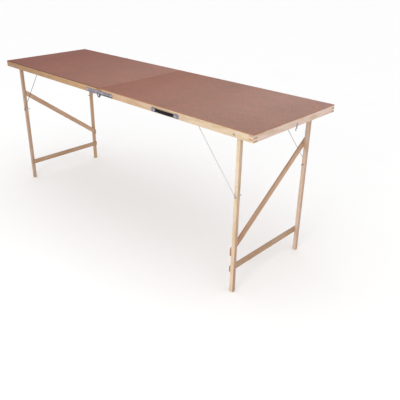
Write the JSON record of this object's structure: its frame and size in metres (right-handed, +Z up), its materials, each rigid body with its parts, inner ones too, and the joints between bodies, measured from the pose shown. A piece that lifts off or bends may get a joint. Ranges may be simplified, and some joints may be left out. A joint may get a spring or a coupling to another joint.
{
  "type": "folding pasting table",
  "caption": "Long narrow folding work table: two shallow softwood frames under hardboard, riveted hinges, folding leg frames held by cords, strap handle and closing hook.",
  "frame": {"origin": "on the floor under the middle of the open table, at the fold", "axes": "+X along the table towards the half with the handle, +Y to the back, +Z up"},
  "size_m": [1.8078, 0.552, 0.725],
  "materials": {
    "rail_pine": "pale planed softwood, bare",
    "rail_pine_tan": "warmer planed softwood, bare",
    "leg_pine": "planed softwood, bare",
    "hardboard": "smooth reddish-brown hardboard, faint sheen",
    "galvanised": "dull galvanised pressed steel",
    "zinc_plate": "bright zinc plating",
    "grip": "black moulded plastic",
    "cord": "white twisted nylon cord"
  },
  "bodies": {
    "right_half": {"right_front_rail": "rail_pine", "right_back_rail": "rail_pine", "right_end_rail": "rail_pine", "right_joint_rail": "rail_pine", "right_top": "hardboard", "right_top_pins": "zinc_plate", "right_hinge_leaf_front": "galvanised", "right_hinge_leaf_back": "galvanised", "right_hinge_screws": "galvanised", "right_leg_bolts": "zinc_plate", "right_leg_spacers": "zinc_plate", "right_leg_washers": "zinc_plate", "right_leg_nuts": "zinc_plate", "right_cord_screws": "zinc_plate", "right_front_cord": "cord", "right_back_cord": "cord", "handle_cap_inner": "galvanised", "handle_cap_outer": "galvanised", "handle_screws": "zinc_plate", "hook_screw": "zinc_plate"},
    "left_half": {"left_front_rail": "rail_pine_tan", "left_back_rail": "rail_pine_tan", "left_end_rail": "rail_pine_tan", "left_joint_rail": "rail_pine_tan", "left_top": "hardboard", "left_top_pins": "zinc_plate", "left_hinge_leaf_front": "galvanised", "left_hinge_leaf_back": "galvanised", "left_hinge_screws": "galvanised", "left_leg_bolts": "zinc_plate", "left_leg_spacers": "zinc_plate", "left_leg_washers": "zinc_plate", "left_leg_nuts": "zinc_plate", "left_cord_screws": "zinc_plate", "left_front_cord": "cord", "left_back_cord": "cord", "catch_screw": "zinc_plate"},
    "hinge_pins": {"hinge_rivets": "galvanised"},
    "right_legs": {"right_front_leg": "leg_pine", "right_back_leg": "leg_pine", "right_crossbar": "leg_pine", "right_brace": "leg_pine", "right_slat_nails": "zinc_plate", "right_cord_pins": "zinc_plate"},
    "left_legs": {"left_front_leg": "leg_pine", "left_back_leg": "leg_pine", "left_crossbar": "leg_pine", "left_brace": "leg_pine", "left_slat_nails": "zinc_plate", "left_cord_pins": "zinc_plate"},
    "handle": {"handle_strap": "grip"},
    "hook": {"closing_hook": "zinc_plate"}
  },
  "joints": [
    {"name": "fold_start", "type": "hinge", "parent": "right_half", "child": "hinge_pins", "pos_m": [0, 0, 0.6925], "axis": [0, -1, 0], "range_deg": [0, 82]},
    {"name": "fold_finish", "type": "hinge", "parent": "hinge_pins", "child": "left_half", "pos_m": [0, 0, 0.6925], "axis": [0, -1, 0], "range_deg": [0, 98]},
    {"name": "right_legs_fold", "type": "hinge", "parent": "right_half", "child": "right_legs", "pos_m": [0.812, 0, 0.705], "axis": [0, 1, 0], "range_deg": [0, 90.01], "deforming": ["right_front_cord", "right_back_cord"]},
    {"name": "left_legs_fold", "type": "hinge", "parent": "left_half", "child": "left_legs", "pos_m": [-0.812, 0, 0.705], "axis": [0, -1, 0], "range_deg": [0, 90.01], "deforming": ["left_front_cord", "left_back_cord"]},
    {"name": "handle_lift", "type": "slide", "parent": "right_half", "child": "handle", "axis": [0, -1, 0], "range_m": [0, 0.014], "deforming": ["handle_strap"]},
    {"name": "hook_swing", "type": "hinge", "parent": "right_half", "child": "hook", "pos_m": [0.9, 0, 0.703], "axis": [1, 0, 0], "range_deg": [-72, 28.8]}
  ],
  "couplings": [
    {"joint": "right_legs_fold", "follows": "fold_start", "ratio": 1.0976},
    {"joint": "left_legs_fold", "follows": "fold_start", "ratio": 1.0976}
  ]
}
